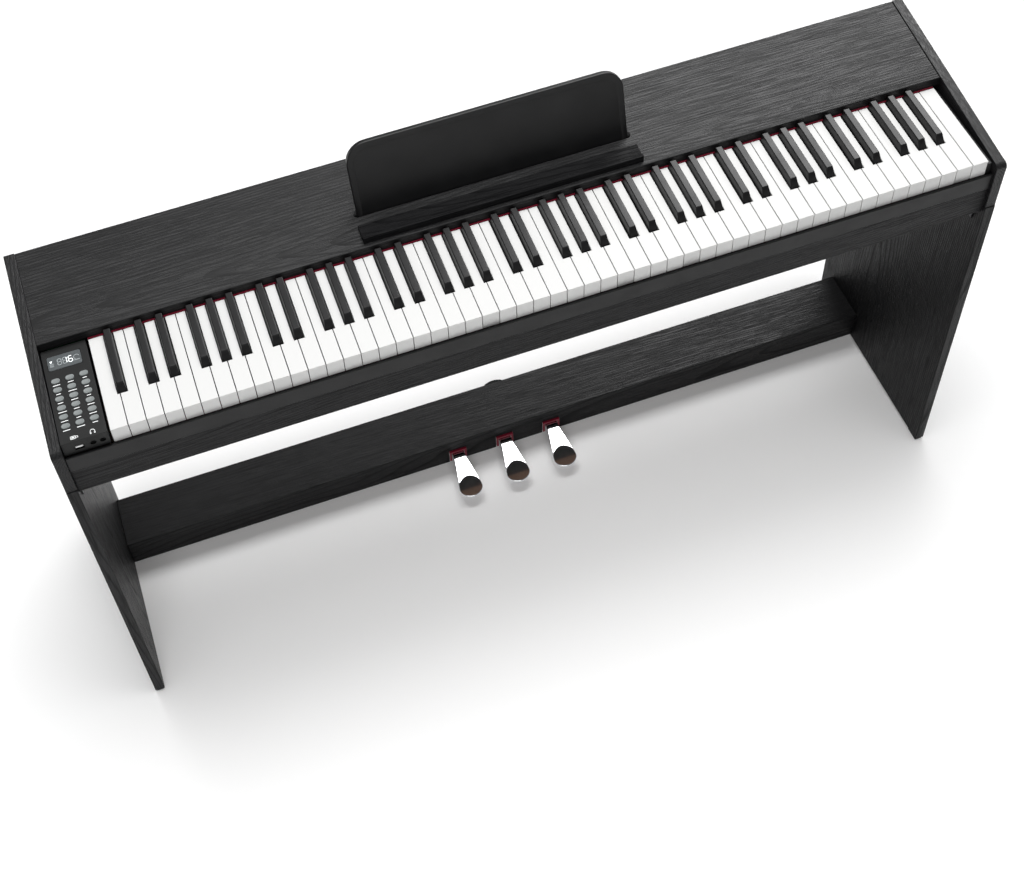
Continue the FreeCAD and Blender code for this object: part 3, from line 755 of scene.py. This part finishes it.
class PIANO_OT_panel(bpy.types.Operator):
    """Control panel, display, buttons, printed marks and circuit board"""
    bl_idname = "piano.panel"
    bl_label = "Control panel"

    def execute(self, context):
        settings = context.scene.piano_panel
        matt = finish("matt_panel_abs", moulded, colour("#070808"), 0.5,
                      0.6 * MM, 0.02 * MM, Specular_IOR_Level=0.2)
        soft_piece("control_panel", matt, "panel_black_plastic", 0.5 * MM,
                   longer=13 * MM)
        # smoked acrylic over a liquid crystal display: grey, glossy
        smoked = finish("smoked_acrylic_window", moulded, colour("#454A4C"), 0.2,
                        5 * MM, 0.002 * MM)
        soft_piece("display_window", smoked, "smoked_window", 0.12 * MM,
                   longer=0.5 * MM)
        rubber = finish("grey_silicone_button", moulded, rgba(settings.rubber),
                        0.55, 0.5 * MM, 0.015 * MM)
        for node in BUTTONS:
            self.button(node, rubber)
        self.labels(settings)
        self.symbols()
        self.display(settings)
        self.circuit()
        return {"FINISHED"}

    def button(self, node, rubber):
        """Oval cap with a rounded shoulder and a hollow for the fingertip."""
        low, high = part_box(node)
        cx, cy = (low.x + high.x) / 2, (low.y + high.y) / 2
        top = high.z
        bm = bmesh.new()
        join_loops(bm, [[
            bm.verts.new((x, y, top + height * MM))
            for x, y in rounded(cx, cy, length * MM, width * MM,
                                width * MM / 2 - 1e-6, 6)]
            for length, width, height in BUTTON_LAYERS])
        # stem that presses the switch
        add_turned(bm, [(2.0 * MM, low.z - top), (2.0 * MM, -7.2 * MM)],
                   (cx, cy, top), UP, 16)
        add_piece(node + "_cap", bm, rubber, [node],
                  BODY_OF[node], 50)

    def labels(self, settings):
        """Printed bars under the buttons, in place of words."""
        ink = finish("white_pad_print", moulded, colour("#E4E6E6"), 0.6,
                     0.4 * MM, 0.002 * MM)
        spots = []
        for node in BUTTONS:
            low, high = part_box(node)
            spots.append(((low.x + high.x) / 2, low.y - 1.6 * MM,
                          PANEL[1].z + 0.02 * MM))
        sizes = [
            ("Length", "NodeSocketFloat", settings.label_length),
            ("Width", "NodeSocketFloat", 1.15 * MM),
            ("Thickness", "NodeSocketFloat", 0.08 * MM),
            ("Shortest", "NodeSocketFloat", 0.45),
            ("Seed", "NodeSocketInt", settings.label_seed),
        ]
        tree, given = new_tree("button_labels", sizes)
        size = add(tree, "ShaderNodeCombineXYZ", {
            "X": given["Length"], "Y": given["Width"], "Z": given["Thickness"]})
        bar = add(tree, "GeometryNodeMeshCube", {"Size": size.outputs["Vector"]})
        share = add(tree, "FunctionNodeRandomValue", {
            "Min": given["Shortest"], "Max": 1.0, "Seed": given["Seed"]},
            data_type="FLOAT")
        # float sockets of the random node come after its vector ones
        floats = [s for s in share.outputs if s.type == "VALUE"]
        tree.links.new(given["Shortest"],
                       [s for s in share.inputs if s.type == "VALUE"][0])
        stretch = add(tree, "ShaderNodeCombineXYZ", {
            "X": floats[0], "Y": 1.0, "Z": 1.0})
        put = add(tree, "GeometryNodeInstanceOnPoints", {
            "Points": given["Geometry"], "Instance": bar.outputs["Mesh"],
            "Scale": stretch.outputs["Vector"]})
        close_tree(tree, put.outputs["Instances"], ink)
        mesh = grow("button_labels", spots, tree, sizes)
        place_piece("button_labels", mesh, "cabinet", ink, even=False)

    def symbols(self):
        """Headphone and socket symbols at the front of the panel."""
        ink = FINISHES["white_pad_print"]
        low, high = PANEL[1].z - 0.02 * MM, PANEL[1].z + 0.06 * MM
        front = PANEL[0].y
        bm = bmesh.new()
        cx, cy = PANEL[1].x - 17.8 * MM, front + 7.2 * MM
        add_bow(bm, cx, cy, 3.3 * MM, 2.5 * MM, -35, 215, 20, low, high)
        for side in (-1, 1):
            add_bar(bm, cx + side * 2.6 * MM, cy - 2.0 * MM, 1.7, 3.0, 0.5, low,
                    high)
        # a stick with its plug, for the stick socket
        ux, uy = PANEL[0].x + 18.5 * MM, front + 6.2 * MM
        for dx, dy, width, depth in STICK:
            add_bar(bm, ux + dx * MM, uy + dy * MM, width, depth, 0.3, low, high, 2)
        add_piece("panel_symbols", bm, ink)

    def display(self, settings):
        """Lit digits, unlit digit and small marks of the display."""
        low, high = WINDOW[1].z - 0.02 * MM, WINDOW[1].z + 0.05 * MM
        middle = (WINDOW[0] + WINDOW[1]) / 2
        height = settings.digit_height
        base = middle.y - height / 2
        glow = finish_of("lit_display_segment", colour("#F4F8F8"), 0.4,
                         Emission_Color=colour("#EAF2F4"),
                         Emission_Strength=0.7)[0]
        lit = bmesh.new()
        add_digit(lit, middle.x - 1.9 * MM, base, height, "bc", low, high)
        add_digit(lit, middle.x + 5.5 * MM, base, height, "acdefg", low, high)
        for step, width in enumerate((3.2, 2.2)):
            add_bar(lit, WINDOW[0].x + 4.6 * MM, middle.y + (3.4 - 1.6 * step) * MM,
                    width, 1.2, 0.4, low, high)
        add_piece("lit_segments", lit, glow)
        dim = finish("unlit_display_segment", moulded, colour("#8B9193"), 0.4,
                     1.0 * MM, 0.001 * MM)
        ghost = bmesh.new()
        ghost_high = high - 0.03 * MM
        add_digit(ghost, middle.x - 8.9 * MM, base, height, "abcdefg", low,
                  ghost_high)
        add_digit(ghost, middle.x - 1.9 * MM, base, height, "adefg", low,
                  ghost_high)
        for step in range(4):
            add_bar(ghost, WINDOW[0].x + 5.0 * MM,
                    middle.y - (0.6 + 1.5 * step) * MM, 5.5, 0.7, 0.2, low,
                    ghost_high, 2)
        right = WINDOW[1].x - 6.2 * MM
        add_bow(ghost, right, middle.y + 0.5 * MM, 4.0 * MM, 3.2 * MM, 20, 250, 18,
                low, ghost_high)
        add_plate(ghost, [(right - 3.6 * MM, middle.y - 4.6 * MM),
                          (right + 3.8 * MM, middle.y - 4.6 * MM),
                          (right + 3.8 * MM, middle.y - 3.5 * MM),
                          (right - 3.6 * MM, middle.y - 3.5 * MM)], low,
                  ghost_high)
        add_piece("unlit_segments", ghost, dim)

    def circuit(self):
        """Main board with its sockets, each of its own material."""
        low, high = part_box("main_board")
        left, right = low.x, high.x
        base = low.z
        # laminate 1.6 mm thick
        top = base + 1.6 * MM
        front = PANEL[0].y + 1.0 * MM
        keys_left = PANEL[1].x + 3.0 * MM
        laminate = FINISHES["green_glass_laminate"]
        board = bmesh.new()
        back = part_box("back_panel")[0].y - 2.0 * MM
        add_block(board, (left, front + 3 * MM, base), (right, back, top))
        add_piece("circuit_board", board, laminate,
                  ["main_board"], even=True)
        nickel = finish("nickel_plated_shell", plated, colour("#B9B7B2"), 0.25,
                        3 * MM)
        usb = keys_left - 42 * MM
        shell = bmesh.new()
        for x0, x1, z0, z1 in ((-6.5, 6.5, 0, 1.2), (-6.5, 6.5, 7.8, 9),
                               (-6.5, -5.7, 1.2, 7.8), (5.7, 6.5, 1.2, 7.8)):
            add_block(shell, (usb + x0 * MM, front + 1.9 * MM, top + z0 * MM),
                      (usb + x1 * MM, front + 18 * MM, top + z1 * MM))
        add_piece("usb_shell", shell, nickel, ["main_board"])
        tongue = bmesh.new()
        add_block(tongue, (usb - 4.9 * MM, front - 0.3 * MM, top + 3.6 * MM),
                  (usb + 4.9 * MM, front + 14 * MM, top + 6.0 * MM))
        soften(tongue, 0.3 * MM)
        ivory = finish("white_nylon_insert", moulded, colour("#E9EAEA"), 0.4,
                       0.8 * MM, 0.005 * MM)
        add_piece("usb_tongue", tongue, ivory,
                  ["main_board"])
        jack = finish("black_nylon_jack", moulded, colour("#1A1A1B"), 0.5,
                      0.6 * MM, 0.01 * MM)
        jacks = bmesh.new()
        for offset in (-24.0, -11.8):
            add_tube(jacks, (keys_left + offset * MM, front + 1.9 * MM,
                             top + 5.5 * MM), ALONG_Y, 3.2 * MM, 5.2 * MM, 15 * MM)
        for offset in (10.0, 26.0, 42.0):
            add_tube(jacks, (left + offset * MM, high.y - 24 * MM,
                             top + 6.5 * MM), ALONG_Y, 3.2 * MM, 5.0 * MM, 24 * MM)
        add_piece("socket_bodies", jacks, jack,
                  ["main_board"])


# ----------------------------------------------------------------- music rest
class PIANO_OT_rest(bpy.types.Operator):
    """Lift-off music rest and the ledge in front of it"""
    bl_idname = "piano.rest"
    bl_label = "Music rest"

    def execute(self, context):
        settings = context.scene.piano_rest
        satin = finish("satin_black_lacquer", moulded, colour("#0C0C0D"), 0.4,
                       1.0 * MM, 0.01 * MM, Specular_IOR_Level=0.35)
        bm = merged_copy("music_rest")
        bm.faces.ensure_lookup_table()
        front = max((f for f in bm.faces if f.normal.y < -0.5),
                    key=lambda f: f.calc_area())
        bmesh.ops.inset_region(bm, faces=[front], thickness=settings.rim_width,
                               depth=0.0)
        bmesh.ops.inset_region(bm, faces=[front], thickness=settings.rim_depth,
                               depth=-settings.rim_depth)
        add_piece("music_rest_plate", bm, satin,
                  ["music_rest"], BODY_OF["music_rest"], 30, even=True)
        wood = finish("black_oak_foil_ledge", black_oak_foil, "X", (0.05, 0.69),
                      0.03, context.scene.piano_case)
        soft_piece("rest_ledge", wood, "black_woodgrain", 0.6 * MM, longer=2 * MM)
        return {"FINISHED"}


# --------------------------------------------------------------------- pedals
# a pedal from above: lengths from the toe, half widths
NECK_ROOT = 81 * MM
CUT_START = 37 * MM
TOE_MIDDLE = 16 * MM
NECK_HALF = 9.5 * MM
TOE_HALF = 19.6 * MM
# a pedal from the side: thickness, and falls per length of the neck and the cut
THICK = 9.0 * MM
NECK_FALL = math.tan(math.radians(8.0))
TOE_FALL = math.tan(math.radians(11.5))
FLANK_STEPS = 24
RIM_STEPS = 5
ARCH_STEPS = 16


class PIANO_OT_pedals(bpy.types.Operator):
    """Three chromed pedals, red felts and the pedal frame"""
    bl_idname = "piano.pedals"
    bl_label = "Pedals"

    def execute(self, context):
        settings = context.scene.piano_pedals
        # cast, polished and chromed: mirror with the faintest haze
        chrome = finish("polished_chrome", plated, colour("#E2E2E4"), 0.045,
                        30 * MM)
        for node in PEDALS:
            self.pedal(node, chrome, settings)
        felt = finish("red_wool_felt", wool_felt, rgba(settings.felt))
        soft_piece("red_felts", felt, "red_felt", 0.5 * MM, longer=3 * MM)
        zinc = finish("zinc_plated_bracket", plated, colour("#9C9EA0"), 0.34,
                      4 * MM)
        soft_piece("pedal_frame", zinc, "zinc_plated_steel", 0.3 * MM,
                   longer=10 * MM)
        coil_springs("pedal_springs", "pedal_coil_springs",
                     FINISHES["drawn_spring_steel"], 4.0, 4.9 * MM, 0.6 * MM,
                     0.7 * MM)
        return {"FINISHED"}

    def outline(self, x, low, high, inset):
        """Spoon outline, drawn in by the inset, anticlockwise from the rear."""
        toe = low.y
        root = toe + NECK_ROOT
        round_y = toe + TOE_MIDDLE
        neck, wide = NECK_HALF - inset, TOE_HALF - inset
        rear = high.y - inset
        flank = []
        for i in range(FLANK_STEPS + 1):
            t = i / FLANK_STEPS
            swell = t * t * (3 - 2 * t) * 0.35 + t * 0.65
            flank.append((neck + (wide - neck) * swell, root + (round_y - root) * t))
        # the toe is a touch flatter than a half circle
        flat = (round_y - toe - inset) / wide
        tip = [(px, round_y + (py - round_y) * flat)
               for px, py in arc(x, round_y, wide, 180, 360, 48)[1:-1]]
        return ([(x - neck, rear)] + [(x - w, y) for w, y in flank] + tip
                + [(x + w, y) for w, y in reversed(flank)] + [(x + neck, rear)])

    def pedal(self, node, chrome, settings):
        """Spoon with a rounded rim, a crowned neck and a flat cut over the toe."""
        low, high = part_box(node)
        x = (low.x + high.x) / 2
        root = low.y + NECK_ROOT
        bend = low.y + CUT_START
        top = high.z
        rim, crown = settings.rim_round, settings.crown

        def neck_line(y):
            return top - max(0.0, root - y) * NECK_FALL

        def neck_z(px, py):
            return neck_line(py) - (px - x) ** 2 / (2 * crown)

        def cut_z(py):
            return neck_line(bend) - (bend - py) * TOE_FALL

        def surface(px, py):
            return min(neck_z(px, py), cut_z(py))

        bm = bmesh.new()
        loops = []
        for inset, rise in ((1.0 * MM, 0.0), (0.3 * MM, 0.3 * MM), (0.0, 1.0 * MM)):
            loops.append([bm.verts.new((px, py, neck_line(py) - THICK + rise))
                          for px, py in self.outline(x, low, high, inset)])
        for i in range(RIM_STEPS + 1):
            a = math.pi / 2 * i / RIM_STEPS
            inset = rim * (1 - math.cos(a))
            drop = rim * (1 - math.sin(a))
            loops.append([
                bm.verts.new((px, py, surface(px, py) - drop))
                for px, py in self.outline(x, low, high, inset)])
        join_loops(bm, loops, capped=False)
        bm.faces.new(list(reversed(loops[0])))
        edge = loops[-1]
        count = len(edge)
        # first rim point on the cut, and its mirror image
        first = next(i for i, v in enumerate(edge)
                     if cut_z(v.co.y) < neck_z(v.co.x, v.co.y))
        last = count - 1 - first

        def across(k):
            """Points between the rim points k from the rear, over the neck."""
            left, right = edge[k], edge[count - 1 - k]
            share = (k / first) ** 2
            row = [left]
            for i in range(1, ARCH_STEPS):
                px = left.co.x + (right.co.x - left.co.x) * i / ARCH_STEPS
                arch = (px - x) ** 2 - (left.co.x - x) ** 2
                py = left.co.y - share * arch / (2 * crown * (TOE_FALL - NECK_FALL))
                row.append(bm.verts.new((px, py, neck_z(px, py))))
            return row + [right]

        rows = [across(k) for k in range(1, first + 1)]
        bm.faces.new([edge[0]] + rows[0] + [edge[-1]])
        for back, front in zip(rows, rows[1:]):
            for i in range(ARCH_STEPS):
                bm.faces.new((back[i], front[i], front[i + 1], back[i + 1]))
        bm.faces.new(edge[first:last] + list(reversed(rows[-1][1:])))
        bmesh.ops.recalc_face_normals(bm, faces=bm.faces)
        bm.verts.index_update()
        crisp = {v.index for v in edge + rows[-1]}
        name = node + "_chrome"
        mesh = mesh_from(bm, name, 30)
        for e in mesh.edges:
            if e.vertices[0] in crisp and e.vertices[1] in crisp:
                e.use_edge_sharp = True
        place_piece(name, mesh, BODY_OF[node], chrome, [node])


# ------------------------------------------------------------------- hardware
HEAD_HEIGHT = 2.4 * MM


class PIANO_OT_hardware(bpy.types.Operator):
    """Screws, angle brackets and speakers"""
    bl_idname = "piano.hardware"
    bl_label = "Hardware"

    def execute(self, context):
        black = finish("black_oxide_steel", plated, colour("#3A3A3C"), 0.42,
                       3 * MM)
        soft_piece("corner_brackets", black, "black_painted_steel", 0.4 * MM,
                   longer=5 * MM)
        basket = finish("black_speaker_basket", moulded, colour("#202021"), 0.75,
                        1.5 * MM, 0.1 * MM)
        soft_piece("speakers", basket, "grey_black_plastic", 0.6 * MM,
                   longer=10 * MM)
        self.screws(black)
        return {"FINISHED"}

    def screws(self, steel):
        """Pan-head screws with a cross recess."""
        seats, axes, lengths = [], [], []
        for low, high, points in islands("screws"):
            size = high - low
            way = max(range(3), key=lambda i: size[i])
            middle = (low + high) / 2
            # the head is at the end where the points lie furthest out
            wide = {}
            for end, at in ((-1, low[way]), (1, high[way])):
                wide[end] = max(
                    (p - middle).length_squared - (p[way] - middle[way]) ** 2
                    for p in points if abs(p[way] - at) < 1e-5)
            end = max(wide, key=wide.get)
            axis = Vector((0, 0, 0))
            axis[way] = end
            seat = middle.copy()
            seat[way] = (high[way] if end > 0 else low[way]) - end * HEAD_HEIGHT
            seats.append(tuple(seat))
            axes.append(tuple(axis))
            lengths.append(size[way] - HEAD_HEIGHT)
        head = bpy.data.objects.new("screw_head", self.head())
        bpy.context.scene.collection.objects.link(head)
        sizes = [
            ("Head", "NodeSocketObject", head),
            ("Shank radius", "NodeSocketFloat", 1.9 * MM),
        ]
        tree, given = new_tree("pan_head_screws", sizes)
        shape = add(tree, "GeometryNodeObjectInfo", {"Object": given["Head"]})
        way = add(tree, "GeometryNodeInputNamedAttribute", {"Name": "way"},
                  data_type="FLOAT_VECTOR").outputs["Attribute"]
        reach = add(tree, "GeometryNodeInputNamedAttribute", {"Name": "reach"},
                    data_type="FLOAT").outputs["Attribute"]
        turn = add(tree, "FunctionNodeAlignRotationToVector", {"Vector": way},
                   axis="Z").outputs["Rotation"]
        heads = add(tree, "GeometryNodeInstanceOnPoints", {
            "Points": given["Geometry"], "Instance": shape.outputs["Geometry"],
            "Rotation": turn})
        rod = add(tree, "GeometryNodeMeshCylinder", {
            "Vertices": 12, "Radius": given["Shank radius"], "Depth": 1.0})
        down = add(tree, "GeometryNodeTransform", {
            "Geometry": rod.outputs["Mesh"], "Translation": (0.0, 0.0, -0.5)})
        stretch = add(tree, "ShaderNodeCombineXYZ", {"X": 1.0, "Y": 1.0,
                                                     "Z": reach})
        shanks = add(tree, "GeometryNodeInstanceOnPoints", {
            "Points": given["Geometry"], "Instance": down.outputs["Geometry"],
            "Rotation": turn, "Scale": stretch.outputs["Vector"]})
        both = add(tree, "GeometryNodeJoinGeometry")
        tree.links.new(heads.outputs["Instances"], both.inputs[0])
        tree.links.new(shanks.outputs["Instances"], both.inputs[0])
        close_tree(tree, both.outputs["Geometry"], steel)
        mesh = grow("pan_head_screws", seats, tree, sizes, {
            "way": ("FLOAT_VECTOR", "vector", axes),
            "reach": ("FLOAT", "value", lengths)})
        bpy.data.objects.remove(head)
        mesh.shade_smooth()
        mesh.set_sharp_from_angle(angle=math.radians(35))
        place_piece("pan_head_screws", mesh, "cabinet", steel,
                    ["screws"], even=False)

    def head(self):
        """Domed head 8 mm wide, with a cross recess 1.3 mm deep."""
        steps, rings = 40, 9
        radius = 4.0 * MM
        bm = bmesh.new()
        loops = turned_loops(bm, [(radius, 0)], (0, 0, 0), UP, steps)
        for k in range(rings):
            r = radius * (1 - k / rings)
            loop = []
            for i in range(steps):
                a = 2 * math.pi * i / steps
                px, py = r * math.cos(a), r * math.sin(a)
                # straight side up to 62 percent of the height, then a dome
                rise = HEAD_HEIGHT * (0.62 + 0.38 * (1 - (r / radius) ** 2))
                if min(abs(px), abs(py)) < 0.55 * MM and r < 2.4 * MM:
                    rise -= 1.3 * MM
                loop.append(bm.verts.new((px, py, rise)))
            loops.append(loop)
        join_loops(bm, loops)
        mesh = bpy.data.meshes.new("screw_head")
        bm.to_mesh(mesh)
        bm.free()
        return mesh


# ---------------------------------------------------------------------- stage
# name, place, aim, side in metres, watts, and whether it gives sheen only
SOFTBOXES = (
    ("overhead_softbox", (0.1, 0.65, 4.8), (0, 0, 0.3), 3.4, 240.0, False),
    ("right_softbox", (2.1, 2.2, 3.4), (0.5, 0, 0.7), 2.2, 235.0, True),
    ("front_softbox", (-0.6, -3.2, 2.8), (0, 0, 0.3), 2.4, 54.0, False),
)
# where the camera stands, how it is turned (radians) and how the lens is shifted
CAMERA_PLACE = (-0.45218, -1.37984, 2.42817)
CAMERA_AZIMUTH, CAMERA_ELEVATION, CAMERA_ROLL = 0.232247, 0.883243, -0.107729
LENS_SHIFT = (0.0926, -0.2074)


def add_softbox(name, place, aim, size, power, sheen_only):
    """Square studio softbox; one for sheen only adds no diffuse light."""
    light = bpy.data.lights.new(name, "AREA")
    light.shape = "SQUARE"
    light.size = size
    light.energy = power
    lamp = bpy.data.objects.new(name, light)
    bpy.context.scene.collection.objects.link(lamp)
    lamp.visible_diffuse = not sheen_only
    lamp.location = place
    lamp.rotation_euler = (Vector(aim) - Vector(place)).to_track_quat(
        "-Z", "Y").to_euler()


class PIANO_OT_stage(bpy.types.Operator):
    """Camera, pale floor and soft studio light"""
    bl_idname = "piano.stage"
    bl_label = "Stage"

    def execute(self, context):
        settings = context.scene.piano_stage
        scene = context.scene
        self.camera(scene, settings)
        bm = bmesh.new()
        bmesh.ops.create_grid(bm, x_segments=1, y_segments=1, size=12.0)
        mesh = bpy.data.meshes.new("studio_floor")
        bm.to_mesh(mesh)
        bm.free()
        floor = bpy.data.objects.new("studio_floor", mesh)
        scene.collection.objects.link(floor)
        mesh.materials.append(
            finish_of("studio_floor_paint", rgba(settings.floor), 0.9)[0])
        world = bpy.data.worlds.new("studio")
        world.use_nodes = True
        sky = world.node_tree.nodes["Background"]
        sky.inputs["Color"].default_value = (1.0, 1.0, 1.0, 1.0)
        sky.inputs["Strength"].default_value = settings.sky
        scene.world = world
        for softbox in SOFTBOXES:
            add_softbox(*softbox)
        scene.view_settings.view_transform = "Standard"
        return {"FINISHED"}

    def camera(self, scene, settings):
        """Camera turned 13 degrees to the right, looking down at 51 degrees."""
        across = math.cos(CAMERA_ELEVATION)
        ahead = Vector((math.sin(CAMERA_AZIMUTH) * across,
                        math.cos(CAMERA_AZIMUTH) * across,
                        -math.sin(CAMERA_ELEVATION)))
        level = ahead.cross(Vector(UP)).normalized()
        upright = level.cross(ahead)
        cosine, sine = math.cos(CAMERA_ROLL), math.sin(CAMERA_ROLL)
        right = cosine * level + sine * upright
        up = -sine * level + cosine * upright
        turn = Matrix((right, up, -ahead)).transposed()
        camera = bpy.data.cameras.new("camera")
        camera.sensor_width = 36.0
        camera.lens = settings.lens
        camera.shift_x, camera.shift_y = LENS_SHIFT
        eye = bpy.data.objects.new("camera", camera)
        scene.collection.objects.link(eye)
        eye.matrix_world = Matrix.Translation(CAMERA_PLACE) @ turn.to_4x4()
        scene.camera = eye


# -------------------------------------------------------------------- sidebar
OPERATORS = (
    PIANO_OT_stage,
    PIANO_OT_case,
    PIANO_OT_keys,
    PIANO_OT_panel,
    PIANO_OT_rest,
    PIANO_OT_pedals,
    PIANO_OT_hardware,
)
SETTINGS = {
    "piano_case": CaseSettings,
    "piano_keys": KeySettings,
    "piano_panel": PanelSettings,
    "piano_rest": RestSettings,
    "piano_pedals": PedalSettings,
    "piano_stage": StageSettings,
}


class PIANO_PT_sidebar(bpy.types.Panel):
    """Sizes and colours of the piano, and a button for each group of pieces"""
    bl_label = "Digital piano"
    bl_idname = "PIANO_PT_sidebar"
    bl_space_type = "VIEW_3D"
    bl_region_type = "UI"
    bl_category = "Piano"

    def draw(self, context):
        for name, group in SETTINGS.items():
            box = self.layout.box()
            for prop in group.__annotations__:
                box.prop(getattr(context.scene, name), prop)
        for operator in OPERATORS:
            self.layout.operator(operator.bl_idname)


def register():
    for group in SETTINGS.values():
        bpy.utils.register_class(group)
    for name, group in SETTINGS.items():
        setattr(bpy.types.Scene, name, PointerProperty(type=group))
    for operator in OPERATORS:
        bpy.utils.register_class(operator)
    bpy.utils.register_class(PIANO_PT_sidebar)


def unregister():
    bpy.utils.unregister_class(PIANO_PT_sidebar)
    for operator in reversed(OPERATORS):
        bpy.utils.unregister_class(operator)
    for name in SETTINGS:
        delattr(bpy.types.Scene, name)
    for group in SETTINGS.values():
        bpy.utils.unregister_class(group)


def main():
    register()
    bpy.ops.piano.stage()
    bpy.ops.piano.case()
    bpy.ops.piano.keys()
    bpy.ops.piano.panel()
    bpy.ops.piano.rest()
    bpy.ops.piano.pedals()
    bpy.ops.piano.hardware()


if __name__ == "__main__":
    main()
